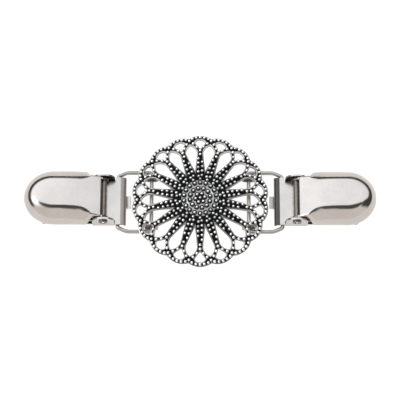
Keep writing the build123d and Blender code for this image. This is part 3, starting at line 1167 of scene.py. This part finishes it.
def flap(side):
    """A plate round the rivet that reaches up to the cover."""
    points, faces = [], []
    for step in range(flap_steps):
        angle = 2 * math.pi * step / flap_steps
        direction = Vector((math.cos(angle), math.sin(angle)))
        for length in (hole_radius, flap_reach(angle, direction)):
            for depth in (pinch - cover_wall, pinch):
                spot = direction * length
                points.append((pivot.x + spot.x, side * depth, pivot.z + spot.y))
    for step in range(flap_steps):
        a, b = 4 * step, 4 * ((step + 1) % flap_steps)
        faces += [(a, a + 2, b + 2, b), (a + 1, b + 1, b + 3, a + 3)]
        faces += [(a + 2, a + 3, b + 3, b + 2), (a, b, b + 1, a + 1)]
    return points, faces


# %% Make a cover
def lever_cover(name):
    points, faces = cover_grid()
    made = mesh_object(name, points, faces, cover_finish)
    outward(made.data)
    if sum(face.normal.z for face in made.data.polygons) < 0:
        made.data.flip_normals()
    thicken(made, cover_wall, 0.12 * mm)
    smooth(made, 60)
    return made


def join_flaps(made):
    """Adds the two flaps to the cover's finished wall."""
    mesh = evaluated_mesh(made)
    made.modifiers.clear()
    made.data = mesh
    with editing(mesh) as shape:
        for side in (1, -1):
            points, faces = flap(side)
            added = bpy.data.meshes.new("flap")
            added.from_pydata(points, [], faces)
            outward(added)
            shape.from_mesh(added)
    smooth(made, 45)


# %% [markdown]
# ## Both clips
# The two clips are the same part. The left one is the right one turned half round the
# flower's centre, which keeps every face pointing outwards, unlike a mirror.

# %% Build both clips and hand each piece to its body
half_turn = Matrix.Rotation(math.pi, 4, "Z")
for side in ("right", "left"):
    ring = wire_ring(side)
    cover = lever_cover(side + "_cover")
    join_flaps(cover)
    if side == "left":
        ring.data.transform(half_turn)
        cover.data.transform(half_turn)
    clip = rounded_copy(side + "_clip_frame", side + "_frame", sheet_finish)
    pin = rounded_copy(side + "_pivot_pin", side + "_rivet", pin_finish)
    for piece, body, node, slot in (
        (ring, "_ring", "_wire_ring", "nickel_wire"),
        (clip, "_clip", "_clip_frame", "nickel_sheet"),
        (pin, "_clip", "_pivot_pin", "nickel_pin"),
        (cover, "_lever", "_lever_cover", "polished_cover"),
    ):
        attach(piece, side + body)
        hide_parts(side + node)
    print(side, "cover:", len(cover.data.polygons), "faces")

for piece in (ground, strand_bead_piece, boss_bead_piece, boss, staples):
    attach(piece, "ornament")
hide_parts("flower")

# %% [markdown]
# ## The table
# The clip was photographed on plain white. The floor is a large pale sheet that glows a
# little, so that it stays even and its reflection in the polished flanks is soft.

# %% The floor
half_floor = 1.5
floor_drop = 0.02 * mm
floor_finish = bpy.data.materials.new("white_table")
floor_finish.use_nodes = True
floor_shader = floor_finish.node_tree.nodes["Principled BSDF"]
floor_values = {
    "Base Color": grey(0.24),
    "Roughness": 0.9,
    "Specular IOR Level": 0.1,
    "Emission Color": (1.0, 0.995, 0.985, 1),
    "Emission Strength": 0.93,
}
for name, value in floor_values.items():
    floor_shader.inputs[name].default_value = value
corner_signs = ((-1, -1), (1, -1), (1, 1), (-1, 1))
floor_corners = [(x * half_floor, y * half_floor, -floor_drop) for x, y in corner_signs]
floor = mesh_object("floor", floor_corners, [(0, 1, 2, 3)], floor_finish)
print("floor:", 2 * half_floor, "m across")

# %% [markdown]
# ## The studio
# Polished metal shows the room more than itself. The light comes from a wide pale ceiling,
# a little brighter on the left. A darker band runs round the room near the horizon and a
# dark patch stands high in front, near the camera: those two draw the thin dark lines
# along the covers' ridges. One more dark patch, on the right, thickens the line round the
# right clip's nose, and a pale card below the front patch lights the near flanks.
#
# The room is a formula on the direction of the ray: x points right, y away from the
# viewer and up upwards, each from -1 to 1. Each pair of numbers says between which two
# values one part fades into the next. Rays from the camera see plain white.

# %% The room's colours and edges
band_colour = (0.085, 0.080, 0.076, 1)
ceiling_left = (1.76, 1.86, 1.98, 1)
ceiling_right = (1.40, 1.48, 1.58, 1)
card_colour = (1.07, 1.06, 1.04, 1)
dark_front_colour = (0.10, 0.096, 0.092, 1)
ceiling_edge = (0.31, 0.49)
front_edge = (0.01, 0.11)
front_left_edge = (-0.86, -0.70)
card_edge = (0.35, 0.55)
card_top_left = 0.74
card_drop_on_right = 0.04
nose_edge = (0.80, 0.86)
nose_far_edge = (0.36, 0.44)
print("ceiling on the left and right:", ceiling_left[:3], ceiling_right[:3])

# %% The room
world = bpy.data.worlds.new("studio")
bpy.context.scene.world = world
world.use_nodes = True
graph = Graph(world.node_tree)
x, y, up = graph.coordinates(graph.node("ShaderNodeTexCoord", output="Generated"))
ceiling = graph.smooth_step(up - x * x * 0.02, *ceiling_edge)
on_right = graph.smooth_step(x, -0.05, 0.05)
front = graph.smooth_step(y * -1, *front_edge)
card_top = card_top_left - on_right * card_drop_on_right
further_in = 1 - graph.smooth_step(y, -0.05, 0.15)
nose_patch = graph.smooth_step(x + further_in * 0.22, *nose_edge)
nose_patch = nose_patch * (1 - graph.smooth_step(y, *nose_far_edge))
above_card = graph.smooth_step(up - card_top, 0.0, 0.10)
front_card = graph.smooth_step(y * -1, *card_edge) * (1 - above_card)
dark_front = front * above_card * graph.smooth_step(x, *front_left_edge)
lit = graph.mix(graph.smooth_step(x, -0.9, 0.9), ceiling_left, ceiling_right)
room = graph.mix(ceiling * (1 - nose_patch), band_colour, lit)
room = graph.mix(front_card, room, card_colour)
room = graph.mix(dark_front, room, dark_front_colour)
seen = graph.node("ShaderNodeLightPath", output="Is Camera Ray")
room = graph.mix(seen, room, grey(1.0))
background = world.node_tree.nodes["Background"]
world.node_tree.links.new(room.socket, background.inputs["Color"])
background.inputs["Strength"].default_value = 1.0
print("room:", len(world.node_tree.nodes), "nodes")

# %% [markdown]
# One round key light stands low on the left. The left clip's nose mirrors it, and that is
# the bright spark in the photograph.

# %% The key light
key_direction = Vector((-0.77, -0.06, 0.63)).normalized()
key_distance = 0.9
key_data = bpy.data.lights.new("key", "AREA")
key_data.shape = "DISK"
key_data.size = 0.33
key_data.energy = 1.8
key = add_object("key", key_data)
key.location = key_direction * key_distance
key.rotation_euler = key_direction.to_track_quat("Z", "Y").to_euler()
print("key light:", key_data.energy, "W")

bpy.context.scene.view_settings.view_transform = "Standard"
